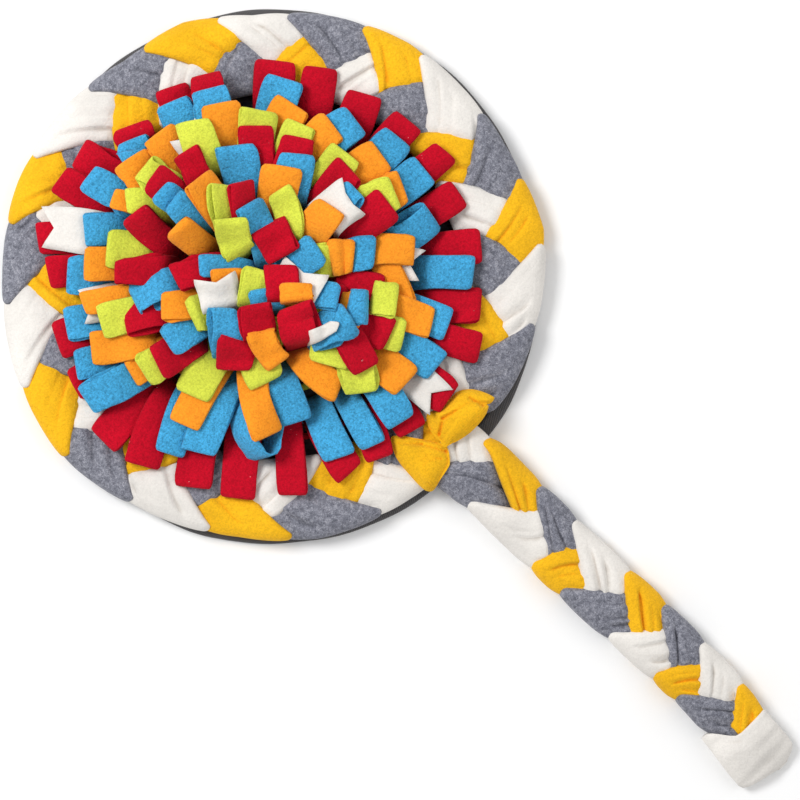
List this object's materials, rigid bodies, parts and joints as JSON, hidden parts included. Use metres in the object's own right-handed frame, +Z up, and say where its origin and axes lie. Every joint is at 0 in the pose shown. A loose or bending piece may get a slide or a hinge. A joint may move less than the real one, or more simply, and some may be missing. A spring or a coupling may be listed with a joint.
{
  "type": "snuffle mat",
  "caption": "Round fleece snuffle mat: a dense pile of coloured loops on a cloth disc inside a plaited rim, with a plaited handle.",
  "frame": {"origin": "middle of the round base, on its underside", "axes": "+Z up out of the base through the loops; the handle runs along -Y from the rim; +X to the right of the handle seen from above with the handle pointing down"},
  "size_m": [0.401, 0.7305, 0.0671],
  "materials": {
    "backing_cloth": "dark woven cloth, matte",
    "webbing": "dark grey twill webbing, matte",
    "fleece_white": "warm white brushed fleece",
    "fleece_yellow": "golden yellow brushed fleece",
    "fleece_grey": "heather grey fleece with light and dark specks",
    "fleece_red": "deep red brushed fleece",
    "fleece_blue": "sky blue curly fleece",
    "fleece_orange": "orange brushed fleece",
    "fleece_lime": "lime green brushed fleece"
  },
  "bodies": {
    "root": {"backing_disc": "backing_cloth", "handle_cuff": "fleece_white", "handle_strand_grey": "fleece_grey", "handle_strand_white": "fleece_white", "handle_strand_yellow": "fleece_yellow", "knot_lower": "fleece_yellow", "knot_upper": "fleece_yellow", "loop_ring_01_red": "fleece_red", "loop_ring_02_blue": "fleece_blue", "loop_ring_03_orange": "fleece_orange", "loop_ring_04_lime": "fleece_lime", "loop_ring_05_red": "fleece_red", "loop_ring_06_blue": "fleece_blue", "loop_ring_07_orange": "fleece_orange", "loop_ring_08_lime": "fleece_lime", "loop_ring_09_red": "fleece_red", "loop_ring_10_blue": "fleece_blue", "open_loop_01": "fleece_blue", "open_loop_02": "fleece_blue", "open_loop_03": "fleece_blue", "open_loop_04": "fleece_blue", "open_loop_05": "fleece_lime", "open_loop_06": "fleece_lime", "open_loop_07": "fleece_lime", "open_loop_08": "fleece_lime", "open_loop_09": "fleece_blue", "open_loop_10": "fleece_blue", "open_loop_11": "fleece_blue", "open_loop_12": "fleece_blue", "rim_binding": "webbing", "rim_strand_grey": "fleece_grey", "rim_strand_white": "fleece_white", "rim_strand_yellow": "fleece_yellow", "white_tab_01": "fleece_white", "white_tab_02": "fleece_white", "white_tab_03": "fleece_white", "white_tab_04": "fleece_white", "white_tab_05": "fleece_white", "white_tab_06": "fleece_white", "white_tab_07": "fleece_white", "white_tab_08": "fleece_white", "white_tab_09": "fleece_white"}
  },
  "joints": []
}
